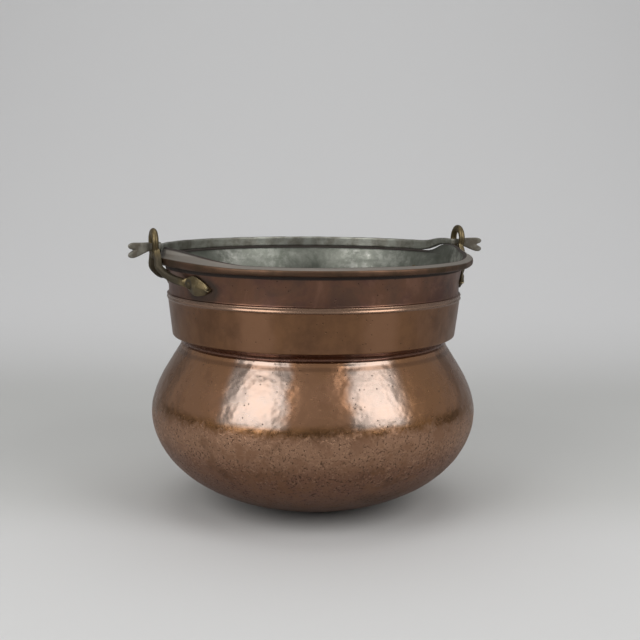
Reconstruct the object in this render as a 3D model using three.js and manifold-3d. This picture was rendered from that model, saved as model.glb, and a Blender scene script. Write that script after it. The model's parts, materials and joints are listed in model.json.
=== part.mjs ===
// A hammered copper cauldron with a rolled, wired lip, two riveted brass ears and a forged swing bail.
// Millimetres, +Z up. The origin is the middle of the flattened spot that the cauldron stands on.
// The ears lie on the X axis, and the bail is laid back on the +Y side of the lip.
import * as THREE from 'three';
import { mergeVertices } from 'three/addons/utils/BufferGeometryUtils.js';
import Module from 'manifold-3d';

const wasm = await Module();
wasm.setup();

// Sheet metal
const sheet = 1.8; // upper body
const baseSheet = 2.2; // bowl, left thicker for the fire
const fitGap = 0.3; // between pieces that bear on each other

// Bowl and shoulder, outside sizes
const restRadius = 31; // flattened spot under the bowl
const bellyRadius = 159;
const bowlFullness = 0.89; // under 1 is fuller than an ellipse
const bellyHeight = 93.5; // of the widest ring
const seamHeight = 81.5; // brazed seam between bowl and upper body
const lapLength = 9; // of the bowl's edge inside the upper body
const waistRadius = 128.5;
const shoulderRise = 66.7; // widest ring to waist
const shoulderPull = 0.33; // share of the rise that the belly's upright tangent reaches
const waistPull = 0.35; // share of the rise that the waist's tangent reaches
const waistSlant = 0.5; // how far that tangent leans out to the belly

// Collar and bead
const collarRadius = 138; // at its foot
const collarFootRise = 8; // waist to collar foot
const collarFootKnee = 0.3; // share of that rise where the foot turns upright
const collarRise = 35.3; // collar foot to bead
const collarTaper = 4.2; // added to the radius on the way up
const beadRise = 6;
const beadProud = 1.4;

// Neck and lip
const neckRise = 30.2; // bead to the bend of the lip
const neckSet = 1; // neck foot inside the collar's top
const neckSpread = 5.3; // the neck's top stands outside its foot
const neckFlare = 2.4; // the higher, the later the neck flares
const lipBend = 2.5; // bend radius under the lip
const lipOverhang = 8; // rolled edge outside the neck's top
const rollRadius = 3.1;
const lipFall = 1.6; // the rolled edge lies lower than the lip's inner edge
const wireRadius = 0.9; // iron wire in the rolled edge
const lipLift = 10.5; // the lip's inner edge stands higher in front of the ears
const lipEdgeShare = 0.3; // part of the lift that reaches the rolled edge
const liftFull = 8; // degrees from an ear where the lift is whole
const liftEnd = 50; // degrees from an ear where it has died out
const liftBack = 16; // degrees behind an ear where it has died out

// Ears, each a ring on two legs with leaf feet
const ringRadius = 8.8; // half width of the ring, at its centre line
const ringTube = 3.1;
const ringStretch = 1.2; // the ring is taller than wide
const ringAbove = 13.7; // ring centre above the lip
const earClearance = 0.6; // ring and legs outside the rolled edge
const legWidth = 7;
const legDepth = 5.6;
const legEdge = 4; // depth of a leg along its edges
const legRidge = 0.55; // flat of the leg's crest, as a share of its width
const footBelow = 19.5; // leaf foot below the lip
const footStart = 42; // round the neck from the ear's middle
const leafLength = 33;
const leafWidth = 18;
const leafCrest = 4.4; // thickness along the leaf's ridge
const leafEdge = 1.8;
const leafRidge = 0.18;
const leafDrop = 5; // the tip points down by this much

// Rivets
const rivetIn = 7; // from the inner end of the leaf
const rivetShank = 2;
const rivetHead = 3.4;
const rivetHeadRise = 2.2;
const rivetInnerHead = 3.8;
const rivetInnerRise = 1.4;

// Bail, a flat bar on edge
const bailHeight = 9.5;
const bailThick = 5;
const bailInset = 4.7; // its centre line inside the rolled edge, where it lies on the lip
const bailEyeHeight = 6; // bar forged down where it passes through the rings
const tailLength = 25.9; // ring centre to the end of the bar
const pivotDrop = 3; // the bar hangs this far under the middle of the ring
const bailBendStart = 66; // degrees from the back where the bar turns out to the ring
const bailBendPull = 0.6; // share of the way to the ears that the bend's tangent reaches
const bailElbow = 1.6; // the bar's elbow beside the ring lies inside the rolled edge by this much more
const bailRiseStart = 70; // degrees from the back where the bar leaves the lip
const bailRiseEnd = 88;
const bailEase = 0.45; // share of the half thickness that its edges are eased by
const tailDrop = 7; // how far the lower lobe of the forked tail drops
const tailLift = 0.5; // how far the upper lobe rises
const tailThick = 7;
const tailTurn = 15; // degrees that the tails point to the front
const tailTip = 0.8; // lobe height at its tip, as a share
const tailFlat = 0.7; // lobe thickness at its tip, as a share of the bar's

// Facets
const roundSteps = 48;
const wireSides = 6;
const ringSteps = 28;
const ringSides = 8;
const rivetSides = 12;

// Heights and radii that follow from the sizes above
const waistHeight = bellyHeight + shoulderRise;
const collarFootHeight = waistHeight + collarFootRise;
const collarTopHeight = collarFootHeight + collarRise;
const collarTopRadius = collarRadius + collarTaper;
const neckFootHeight = collarTopHeight + beadRise;
const neckFootRadius = collarTopRadius - neckSet;
const neckTopRadius = neckFootRadius + neckSpread;
const lipRadius = neckTopRadius + lipOverhang;
const neckTopHeight = neckFootHeight + neckRise;
const lipUnder = neckTopHeight + lipBend;
const lipHeight = lipUnder + sheet;
const rollCentreRadius = lipRadius - rollRadius;
const rollCentreHeight = lipHeight - lipFall - rollRadius;
const outsideLip = lipRadius + earClearance;
const earRadius = outsideLip + ringTube;
const bailRadius = lipRadius - bailInset;
const bailReach = earRadius + tailLength;
const ringHeight = lipHeight + ringAbove;
const pivotHeight = ringHeight - pivotDrop;
const footHeight = lipHeight - footBelow;

const flat = (radius, height) => new THREE.Vector2(radius, height);
const degrees = THREE.MathUtils.degToRad;
const smooth = THREE.MathUtils.smoothstep;
const mix = THREE.MathUtils.lerp;

// Shared helpers for closed meshes

// Keeps positions only, joins shared corners, drops empty triangles and turns the faces outward.
function closeMesh(geometry) {
  const bare = geometry.clone();
  bare.deleteAttribute('normal');
  bare.deleteAttribute('uv');
  const joined = mergeVertices(bare, 1e-4);
  const spot = joined.getAttribute('position');
  const corners = joined.getIndex().array;
  const kept = [];
  let volume = 0;
  for (let i = 0; i < corners.length; i += 3) {
    const [a, b, c] = [corners[i], corners[i + 1], corners[i + 2]];
    if (a === b || b === c || c === a) continue;
    kept.push([a, b, c]);
    const [p, q, r] = [a, b, c].map((corner) => new THREE.Vector3().fromBufferAttribute(spot, corner));
    volume += p.dot(q.cross(r));
  }
  joined.setIndex(kept.flatMap(([a, b, c]) => (volume < 0 ? [a, c, b] : [a, b, c])));
  return joined;
}

function toSolid(geometry) {
  const closed = closeMesh(geometry);
  return new wasm.Manifold(new wasm.Mesh({
    numProp: 3,
    vertProperties: new Float32Array(closed.getAttribute('position').array),
    triVerts: new Uint32Array(closed.getIndex().array),
  }));
}

function fromSolid(solid) {
  const mesh = solid.getMesh();
  const geometry = new THREE.BufferGeometry();
  geometry.setAttribute('position', new THREE.BufferAttribute(mesh.vertProperties, 3));
  geometry.setIndex(new THREE.BufferAttribute(mesh.triVerts, 1));
  return geometry;
}

// Turns a profile of (radius, height) points about the Z axis.
function turned(profile, steps) {
  return closeMesh(new THREE.LatheGeometry(profile, steps).rotateX(Math.PI / 2));
}

// Skins a row of rings that have equal numbers of points, and closes both ends.
function lofted(rings) {
  const count = rings[0].length;
  const points = rings.flat();
  const faces = [];
  for (let row = 0; row + 1 < rings.length; row += 1) {
    for (let i = 0; i < count; i += 1) {
      const next = (i + 1) % count;
      const [a, b] = [row * count + i, row * count + next];
      faces.push(a, b, b + count, a, b + count, a + count);
    }
  }
  const last = (rings.length - 1) * count;
  for (let i = 1; i + 1 < count; i += 1) {
    faces.push(0, i + 1, i);
    faces.push(last, last + i, last + i + 1);
  }
  const geometry = new THREE.BufferGeometry().setFromPoints(points);
  geometry.setIndex(faces);
  return closeMesh(geometry);
}

// Moves each point of an upward profile square to it, towards the axis.
function offsetInward(points, distance) {
  return points.map((point, i) => {
    const before = points[Math.max(i - 1, 0)];
    const after = points[Math.min(i + 1, points.length - 1)];
    const along = after.clone().sub(before).normalize();
    return flat(point.x - along.y * distance, point.y + along.x * distance);
  });
}

// Points on an arc from one angle to another, in degrees, both ends included.
function arcPoints(radius, height, size, from, to, steps) {
  return Array.from({ length: steps + 1 }, (_, i) => {
    const turn = degrees(mix(from, to, i / steps));
    return flat(radius + size * Math.cos(turn), height + size * Math.sin(turn));
  });
}

// Shape of the vessel

// The bowl is half a full ellipsoid that is cut off flat where it stands.
const restShare = (restRadius / bellyRadius) ** (1 / bowlFullness);
const bowlDepth = bellyHeight / Math.sqrt(1 - restShare ** 2);

function bowlPoint(height) {
  const share = (bellyHeight - height) / bowlDepth;
  return flat(bellyRadius * Math.sqrt(1 - share * share) ** bowlFullness, height);
}

// Bowl points between two heights, spaced evenly round the ellipse.
function bowlPoints(fromHeight, toHeight, steps) {
  const turnAt = (height) => Math.asin((height - bellyHeight) / bowlDepth);
  return Array.from({ length: steps + 1 }, (_, i) => {
    const turn = mix(turnAt(fromHeight), turnAt(toHeight), i / steps);
    return flat(bellyRadius * Math.cos(turn) ** bowlFullness, bellyHeight + bowlDepth * Math.sin(turn));
  });
}

function neckRadius(height) {
  const share = THREE.MathUtils.clamp((height - neckFootHeight) / neckRise, 0, 1);
  return neckFootRadius + (neckTopRadius - neckFootRadius) * share ** neckFlare;
}

// Angle by which the neck's wall leans out, at a height.
function neckLean(height) {
  return Math.atan2(neckRadius(height + 1) - neckRadius(height - 1), 2);
}

// How far the lip stands up in front of the ears, at a bearing from the X axis and a radius.
function liftAt(bearing, radius) {
  const fromEar = Math.acos(Math.min(Math.abs(Math.cos(bearing)), 1)) * -Math.sign(Math.sin(bearing));
  const behind = smooth(fromEar, -degrees(liftBack), 0);
  const round = behind * (1 - smooth(fromEar, degrees(liftFull), degrees(liftEnd)));
  const across = mix(1, lipEdgeShare, smooth(radius, neckTopRadius, rollCentreRadius));
  return lipLift * round * across;
}

// Raises the lip of a turned piece in front of the ears. The wall below the leaf feet's top is left alone.
function liftLip(geometry) {
  const spot = geometry.getAttribute('position');
  const wallStart = footHeight + leafWidth / 2;
  for (let i = 0; i < spot.count; i += 1) {
    const [x, y, z] = [spot.getX(i), spot.getY(i), spot.getZ(i)];
    const share = smooth(z, wallStart, rollCentreHeight);
    spot.setZ(i, z + share * liftAt(Math.atan2(y, x), Math.hypot(x, y)));
  }
  return geometry;
}

// Outside of the wall from the seam to the bend of the lip, without the bead.
function wallProfile() {
  const shoulder = new THREE.CubicBezierCurve(
    flat(bellyRadius, bellyHeight),
    flat(bellyRadius, bellyHeight + shoulderRise * shoulderPull),
    flat(mix(waistRadius, bellyRadius, waistSlant), waistHeight - shoulderRise * waistPull),
    flat(waistRadius, waistHeight),
  );
  const foot = new THREE.QuadraticBezierCurve(
    flat(waistRadius, waistHeight),
    flat(collarRadius, waistHeight + collarFootRise * collarFootKnee),
    flat(collarRadius, collarFootHeight),
  );
  const neckSteps = 4;
  const neck = Array.from({ length: neckSteps + 1 }, (_, i) => {
    const height = neckFootHeight + neckRise * (i / neckSteps);
    return flat(neckRadius(height), height);
  });
  return {
    belly: bowlPoints(seamHeight, bellyHeight, 2),
    shoulder: shoulder.getPoints(8).slice(1),
    foot: foot.getPoints(4).slice(1),
    collarTop: flat(collarTopRadius, collarTopHeight),
    neck,
    bend: arcPoints(neckTopRadius + lipBend, neckTopHeight, lipBend, 180, 90, 3).slice(1),
  };
}

function makeUpperBody() {
  const wall = wallProfile();
  const bead = arcPoints(0, 0, 1, -90, 90, 4).slice(1, -1).map((point) => flat(
    collarTopRadius + point.x * beadProud,
    collarTopHeight + (1 + point.y) * beadRise / 2,
  ));
  const below = [...wall.belly, ...wall.shoulder, ...wall.foot, wall.collarTop];
  const above = [...wall.neck, ...wall.bend];
  const outside = [...below, ...bead, ...above];
  const inside = offsetInward([...below, ...above], sheet).reverse();
  const channel = arcPoints(rollCentreRadius, rollCentreHeight, rollRadius - sheet, 90, -180, 6);
  const roll = arcPoints(rollCentreRadius, rollCentreHeight, rollRadius, -180, 90, 7);
  const section = [...outside, ...channel, ...roll, ...inside];
  const shell = toSolid(liftLip(turned([...section, section[0].clone()], roundSteps)));
  return fromSolid(rivetPlaces().reduce((solid, place) => solid.subtract(rivetHole(place)), shell));
}

function makeBaseBowl() {
  const outside = bowlPoints(0, seamHeight - fitGap, 10);
  const wall = bowlPoints(0, seamHeight + lapLength, 11);
  const lapOutside = offsetInward(wall, sheet + fitGap).filter((point) => point.y > seamHeight - fitGap);
  const step = flat(bowlPoint(seamHeight).x - sheet - fitGap, seamHeight - fitGap);
  const inside = offsetInward(wall, sheet + fitGap + baseSheet).filter((point) => point.y > baseSheet);
  const section = [
    flat(0, 0),
    ...outside,
    step,
    ...lapOutside,
    ...inside.reverse(),
    flat(restRadius, baseSheet),
    flat(0, baseSheet),
  ];
  return turned(section, roundSteps);
}

function makeRimWire() {
  const section = arcPoints(rollCentreRadius, rollCentreHeight, wireRadius, 0, 360, wireSides);
  return liftLip(turned(section, roundSteps));
}

// Rivets and ears

// Where the rivets stand: the ear's bearing and the way round the neck from it.
function rivetPlaces() {
  return [0, Math.PI].flatMap((ear) => [-1, 1].map((way) => ({ ear, way })));
}

// How far the flat facets of the neck lie inside its true round.
const facetSag = neckTopRadius * (1 - Math.cos(Math.PI / roundSteps));
const rivetHeight = footHeight - leafDrop * (rivetIn / leafLength);
const rivetBearing = (footStart + rivetIn) / neckRadius(footHeight);

// Stands a piece that was turned about Z square on the neck's outside at a rivet's place.
function seatOnNeck(geometry, { ear, way }) {
  const bearing = ear + way * rivetBearing;
  const radius = neckRadius(rivetHeight);
  return geometry
    .rotateY(Math.PI / 2 + neckLean(rivetHeight))
    .translate(radius, 0, rivetHeight)
    .rotateZ(bearing);
}

function rivetHole(place) {
  const reach = 2 * (leafCrest + sheet + rivetHeadRise);
  const size = rivetShank + fitGap;
  const drill = new THREE.CylinderGeometry(size, size, 2 * reach, rivetSides);
  return toSolid(seatOnNeck(drill.rotateX(Math.PI / 2), place));
}

function makeRivet(place) {
  const headSeat = leafCrest + 2 * fitGap;
  const innerSeat = -sheet - fitGap - facetSag;
  const dome = [0, 30, 60, 90].map((turn) => flat(
    rivetHead * Math.sin(degrees(turn)),
    headSeat + rivetHeadRise * Math.cos(degrees(turn)),
  ));
  const section = [
    ...dome,
    flat(rivetShank, headSeat),
    flat(rivetShank, innerSeat),
    flat(rivetInnerHead, innerSeat),
    flat(rivetInnerHead * 0.75, innerSeat - rivetInnerRise * 0.8),
    flat(0, innerSeat - rivetInnerRise),
  ];
  return seatOnNeck(turned(section, rivetSides), place);
}

// A leg runs down outside the lip, tucks in under it and ends in a leaf that hugs the neck.
// Each stop on it is (way round the neck, height, radius of the inner face).
function legStops() {
  const underLip = rollCentreHeight - rollRadius;
  const neckHere = neckRadius(footHeight);
  const stop = (way, height, radius) => new THREE.Vector3(
    mix(ringRadius, footStart, way),
    height,
    mix(neckHere + fitGap, outsideLip, radius),
  );
  return new THREE.CatmullRomCurve3([
    new THREE.Vector3(ringRadius * 0.8, ringHeight - ringRadius * ringStretch * 0.6, outsideLip),
    stop(0.08, lipHeight, 1),
    stop(0.22, underLip - fitGap, 1),
    stop(0.48, mix(footHeight, underLip, 0.4), 0.6),
    stop(0.76, mix(footHeight, underLip, 0.1), 0.22),
    stop(1, footHeight, 0),
  ]).getPoints(10);
}

// Outline of the leaf: share of its length against share of its half width.
const leafOutline = new THREE.SplineCurve([flat(0, 0.5), flat(0.36, 1), flat(0.75, 0.66), flat(1, 0.14)]);

function leafStops() {
  return leafOutline.getPoints(8).slice(1).map((point) => ({
    way: footStart + leafLength * point.x,
    height: footHeight - leafDrop * point.x,
    half: point.y * leafWidth / 2,
  }));
}

function makeLeg(side) {
  const legs = legStops().map((stop) => ({
    way: stop.x,
    height: stop.y,
    inner: stop.z,
    half: legWidth / 2,
    edge: legEdge,
    crest: legDepth,
    ridge: legRidge,
  }));
  const leaf = leafStops().map((stop) => ({
    ...stop,
    inner: 0,
    edge: leafEdge,
    crest: leafCrest,
    ridge: leafRidge,
  }));
  const stops = [...legs, ...leaf];
  const rings = stops.map((stop, i) => {
    const before = stops[Math.max(i - 1, 0)];
    const after = stops[Math.min(i + 1, stops.length - 1)];
    const run = flat(after.way - before.way, after.height - before.height).normalize();
    const corner = (across, depth) => {
      const way = stop.way - run.y * across * stop.half;
      const height = stop.height + run.x * across * stop.half;
      const radius = Math.max(stop.inner, neckRadius(height) + fitGap) + depth;
      const arm = mix(earRadius, neckRadius(footHeight), Math.min(way / footStart, 1));
      const bearing = side * way / arm;
      return new THREE.Vector3(radius * Math.cos(bearing), radius * Math.sin(bearing), height);
    };
    return [
      corner(-1, 0),
      corner(1, 0),
      corner(1, stop.edge),
      corner(stop.ridge, stop.crest),
      corner(-stop.ridge, stop.crest),
      corner(-1, stop.edge),
    ];
  });
  return toSolid(lofted(rings));
}

function makeEar(bearing) {
  const ring = new THREE.TorusGeometry(ringRadius, ringTube, ringSides, ringSteps)
    .rotateY(Math.PI / 2)
    .scale(1, 1, ringStretch)
    .translate(earRadius, 0, ringHeight);
  const cast = [1, -1].reduce((solid, side) => solid.add(makeLeg(side)), toSolid(ring));
  const drilled = [1, -1].reduce((solid, way) => solid.subtract(rivetHole({ ear: 0, way })), cast);
  return fromSolid(drilled).rotateZ(bearing);
}

// Bail

// Centre line of half the bail, from the middle of the back to where the tail forks.
function bailStops() {
  const innerFace = bailRadius - bailThick / 2;
  const laidHeight = (bearing) => lipHeight + liftAt(bearing, innerFace) + fitGap + bailHeight / 2;
  const bendStart = degrees(bailBendStart);
  const onArc = (turn) => flat(bailRadius * Math.sin(turn), bailRadius * Math.cos(turn));
  const leave = onArc(bendStart);
  const straight = flat(lipRadius - 1, 0);
  const heading = flat(Math.cos(bendStart), -Math.sin(bendStart));
  const bend = new THREE.CubicBezierCurve(
    leave,
    leave.clone().addScaledVector(heading, leave.y * bailBendPull),
    flat(straight.x - bailElbow, 0),
    straight,
  );
  const arcSteps = 18;
  const plan = Array.from({ length: arcSteps }, (_, i) => onArc(bendStart * (i / arcSteps)));
  plan.push(...bend.getPoints(7));
  plan.push(flat(earRadius + ringTube + fitGap, 0));
  plan.push(flat(earRadius + ringTube + bailThick, 0));
  return plan.map((point) => {
    const bearing = Math.atan2(point.y, point.x);
    const fromBack = Math.PI / 2 - bearing;
    const rise = smooth(fromBack, degrees(bailRiseStart), degrees(bailRiseEnd));
    return {
      spot: new THREE.Vector3(point.x, point.y, mix(laidHeight(bearing), pivotHeight, rise)),
      height: mix(bailHeight, bailEyeHeight, rise),
      thick: bailThick,
    };
  });
}

// Skins a bar of eased rectangular section along stops that each have a spot, a height and a thickness.
function makeBar(stops) {
  const up = new THREE.Vector3(0, 0, 1);
  const rings = stops.map((stop, i) => {
    const before = stops[Math.max(i - 1, 0)].spot;
    const after = stops[Math.min(i + 1, stops.length - 1)].spot;
    const along = after.clone().sub(before).normalize();
    const across = along.clone().cross(up).normalize();
    const raise = across.clone().cross(along).normalize();
    const [half, deep] = [stop.thick / 2, stop.height / 2];
    const ease = Math.min(half, deep) * bailEase;
    const corner = (side, lift) => stop.spot.clone()
      .addScaledVector(across, side)
      .addScaledVector(raise, lift);
    return [
      corner(half, ease - deep),
      corner(half, deep - ease),
      corner(half - ease, deep),
      corner(ease - half, deep),
      corner(-half, deep - ease),
      corner(-half, ease - deep),
      corner(ease - half, -deep),
      corner(half - ease, -deep),
    ];
  });
  return toSolid(lofted(rings));
}

// One lobe of the forked tail, bending by drop on its way out.
function tailLobe(side, drop) {
  const root = earRadius + ringTube + 1;
  const steps = 5;
  return makeBar(Array.from({ length: steps + 1 }, (_, i) => {
    const share = i / steps;
    const out = mix(root, bailReach, share);
    const start = Math.sign(drop) * (bailEyeHeight - tailThick) / 2;
    const height = pivotHeight - start - drop * Math.sin(share * Math.PI / 2) ** 1.5;
    return {
      spot: new THREE.Vector3(side * out, (root - out) * Math.tan(degrees(tailTurn)), height),
      height: tailThick * mix(1, tailTip, share),
      thick: bailThick * mix(0.98, tailFlat, share),
    };
  }));
}

function makeBail() {
  const half = bailStops();
  const other = half.slice(1).reverse().map((stop) => ({
    ...stop,
    spot: stop.spot.clone().setX(-stop.spot.x),
  }));
  const tails = [1, -1].flatMap((side) => [tailLobe(side, -tailLift), tailLobe(side, tailDrop)]);
  return fromSolid(tails.reduce((solid, tail) => solid.add(tail), makeBar([...other, ...half])));
}

// Finishes
const copper = new THREE.MeshStandardMaterial({ color: 0x8a5a3c, roughness: 0.38, metalness: 1 });
const firedCopper = new THREE.MeshStandardMaterial({ color: 0x74452f, roughness: 0.5, metalness: 1 });
const brass = new THREE.MeshStandardMaterial({ color: 0x8d7748, roughness: 0.45, metalness: 1 });
const iron = new THREE.MeshStandardMaterial({ color: 0x5b5a55, roughness: 0.55, metalness: 0.9 });

// Assembly
const cauldron = new THREE.Group();

function place(name, geometry, material) {
  const mesh = new THREE.Mesh(geometry, material);
  mesh.name = name;
  cauldron.add(mesh);
}

place('upper_body', makeUpperBody(), copper);
place('base_bowl', makeBaseBowl(), firedCopper);
place('rim_wire', makeRimWire(), iron);
place('ear_right', makeEar(0), brass);
place('ear_left', makeEar(Math.PI), brass);
rivetPlaces().forEach((spot) => {
  const ear = spot.ear === 0 ? 'right' : 'left';
  const face = (spot.ear === 0) === (spot.way > 0) ? 'back' : 'front';
  place(`rivet_${ear}_${face}`, makeRivet(spot), copper);
});
place('bail', makeBail(), iron);

export default cauldron;
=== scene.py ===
"""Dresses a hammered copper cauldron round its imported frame, in metres, with the ears on the X axis."""

import json
import math
from types import SimpleNamespace

import bmesh
import bpy
from bpy.props import FloatProperty, FloatVectorProperty, IntProperty, PointerProperty
from mathutils import Matrix, Vector, noise
from mathutils.geometry import interpolate_bezier


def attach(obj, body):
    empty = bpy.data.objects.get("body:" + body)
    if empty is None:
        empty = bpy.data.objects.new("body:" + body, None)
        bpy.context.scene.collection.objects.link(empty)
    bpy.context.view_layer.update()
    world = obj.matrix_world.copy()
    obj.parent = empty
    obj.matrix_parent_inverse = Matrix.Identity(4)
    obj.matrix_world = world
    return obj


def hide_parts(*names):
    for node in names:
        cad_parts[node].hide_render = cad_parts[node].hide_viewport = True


bl_info = {
    "name": "Copper cauldron",
    "version": (1, 0, 0),
    "blender": (4, 5, 0),
    "location": "View3D > Sidebar > Cauldron",
    "description": "Builds a hammered copper cauldron with riveted ears and a swinging bail",
    "category": "Add Mesh",
}

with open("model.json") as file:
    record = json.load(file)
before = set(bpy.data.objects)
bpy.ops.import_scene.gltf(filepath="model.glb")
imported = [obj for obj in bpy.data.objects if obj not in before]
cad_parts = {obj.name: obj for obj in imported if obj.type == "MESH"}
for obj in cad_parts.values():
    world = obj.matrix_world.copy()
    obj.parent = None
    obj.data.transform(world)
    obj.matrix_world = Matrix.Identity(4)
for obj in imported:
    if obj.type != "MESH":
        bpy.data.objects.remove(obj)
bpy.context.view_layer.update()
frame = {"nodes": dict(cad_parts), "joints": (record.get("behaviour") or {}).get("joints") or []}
PIVOT_HEIGHT = frame["joints"][0]["pos_m"][2]
MM = 0.001
VIEW_TURN = math.radians(-20.5)  # bearing of the side that the camera faces, where pale copper is painted in as highlight


# Sizes and colours that a user would change


def length(name, description, millimetres):
    """A length property whose default is given in millimetres."""
    look = {"min": 0.0, "precision": 4, "unit": "LENGTH", "subtype": "DISTANCE"}
    return FloatProperty(name=name, description=description, default=millimetres * MM, **look)


def angle(name, description, degrees):
    """An angle property whose default is given in degrees."""
    look = {"unit": "ROTATION", "subtype": "ANGLE"}
    return FloatProperty(name=name, description=description, default=math.radians(degrees), **look)


def factor(name, description, default, low, high):
    """A plain number property between two limits."""
    look = {"min": low, "max": high, "subtype": "FACTOR"}
    return FloatProperty(name=name, description=description, default=default, **look)


def colour(name, description, *default):
    """A colour property."""
    look = {"min": 0.0, "max": 1.0, "size": 3, "subtype": "COLOR"}
    return FloatVectorProperty(name=name, description=description, default=default, **look)


class VesselSizes(bpy.types.PropertyGroup):
    """Outside sizes of the bowl, shoulder, collar, neck and lip."""

    rest_radius: length("Rest radius", "Flattened spot under the bowl", 31)
    belly_radius: length("Belly radius", "Widest ring of the belly", 159)
    bowl_fullness: factor("Bowl fullness", "Under 1 is fuller than an ellipse", 0.89, 0.5, 1.5)
    belly_height: length("Belly height", "Height of the widest ring", 93.5)
    seam_height: length("Seam height", "Brazed seam between bowl and upper body", 81.5)
    lap: length("Lap", "Length of the bowl's edge inside the upper body", 9)
    waist_radius: length("Waist radius", "Narrowest ring under the collar", 128.5)
    waist_height: length("Waist height", "Height of that ring", 160.2)
    collar_foot_radius: length("Collar foot radius", "Lower edge of the collar", 138)
    collar_foot_height: length("Collar foot height", "Height of that edge", 168.2)
    collar_top_radius: length("Collar top radius", "Upper edge of the collar", 142.2)
    collar_top_height: length("Collar top height", "Height of that edge", 203.5)
    bead_height: length("Bead height", "Double bead between collar and neck", 6)
    bead_proud: length("Bead relief", "How far the bead stands out", 1.3)
    neck_foot_radius: length("Neck foot radius", "Neck just over the bead", 141.2)
    neck_top_radius: length("Neck top radius", "Neck just under the lip", 146.5)
    neck_flare: factor("Neck flare", "The higher, the later the neck flares", 2.4, 1.0, 6.0)
    neck_top_height: length("Neck top height", "Where the neck bends into the lip", 239.7)
    lip_radius: length("Lip radius", "Outside of the rolled edge", 154.5)
    lip_height: length("Lip height", "Inner edge of the lip", 244)
    lip_fall: length("Lip fall", "The lip's outer edge lies lower by this", 1.6)
    roll_height: length("Roll height", "Height of the rolled edge", 6.2)
    lift: length("Lip lift", "The inner edge stands higher in front of the ears", 10.5)
    lift_full: angle("Lift whole", "From an ear to where the lift is whole", 8)
    lift_end: angle("Lift end", "From an ear to where the lift has died out", 50)
    lift_back: angle("Lift back", "Behind an ear to where the lift has died out", 16)
    sheet: length("Sheet", "Thickness of the upper body", 1.8)
    base_sheet: length("Bowl sheet", "Thickness of the bowl", 2.2)
    fit_gap: length("Fit gap", "Between pieces that bear on each other", 0.3)
    turns: IntProperty(name="Steps", description="Steps round the vessel", default=320, min=48)


class FittingSizes(bpy.types.PropertyGroup):
    """Sizes of the ears, the rivets and the bail."""

    ear_radius: length("Ear radius", "From the axis to the middle of an ear's ring", 158.4)
    ring_radius: length("Ring radius", "Half width of the ring, at its centre line", 8.8)
    ring_tube: length("Ring tube", "Radius of the ring's bar", 3.1)
    ring_stretch: factor("Ring stretch", "Height of the ring for its width", 1.2, 1.0, 2.0)
    leg_width: length("Leg width", "Width of an ear's leg", 7)
    leg_depth: length("Leg depth", "Depth of a leg along its middle", 5.6)
    leg_edge: length("Leg edge", "Depth of a leg along its edges", 4)
    foot_height: length("Foot height", "Height of the leaf feet", 224.5)
    foot_start: length("Foot start", "Round the neck from the ear's middle to the leaf", 42)
    leaf_length: length("Leaf length", "Length of a leaf foot", 33)
    leaf_width: length("Leaf width", "Width of a leaf foot", 18)
    leaf_crest: length("Leaf crest", "Thickness along the leaf's ridge", 4.4)
    leaf_edge: length("Leaf edge", "Thickness along the leaf's outline", 1.5)
    leaf_drop: length("Leaf drop", "The tip points down by this much", 5)
    rivet_in: length("Rivet place", "From the inner end of the leaf", 7)
    rivet_head: length("Rivet head", "Radius of a rivet's head", 3.4)
    rivet_rise: length("Rivet rise", "Height of a rivet's head", 2.2)
    rivet_shank: length("Rivet shank", "Radius of a rivet's shank", 2)
    bail_height: length("Bail height", "Height of the bar", 9.5)
    bail_thick: length("Bail thickness", "Thickness of the bar", 5)
    bail_radius: length("Bail radius", "Centre line of the bar on the lip", 149.8)
    bail_eye: length("Bail eye height", "Height of the bar in the rings", 6)
    bail_reach: length("Bail reach", "From the axis to the end of a tail", 184.3)
    bail_drop: length("Bail drop", "The bar hangs this far under the middle of the ring", 3)
    bail_bend: angle("Bail bend", "From the back to where the bar turns out", 66)
    bail_rise: angle("Bail rise", "From the back to where the bar leaves the lip", 70)
    tail_drop: length("Tail drop", "How far the lower lobe of a tail drops", 7)
    tail_lift: length("Tail lift", "How far the upper lobe of a tail rises", 0.5)
    tail_thick: length("Tail thickness", "Height of a lobe", 7)
    tail_turn: angle("Tail turn", "How far the tails point to the front", 15)


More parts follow.
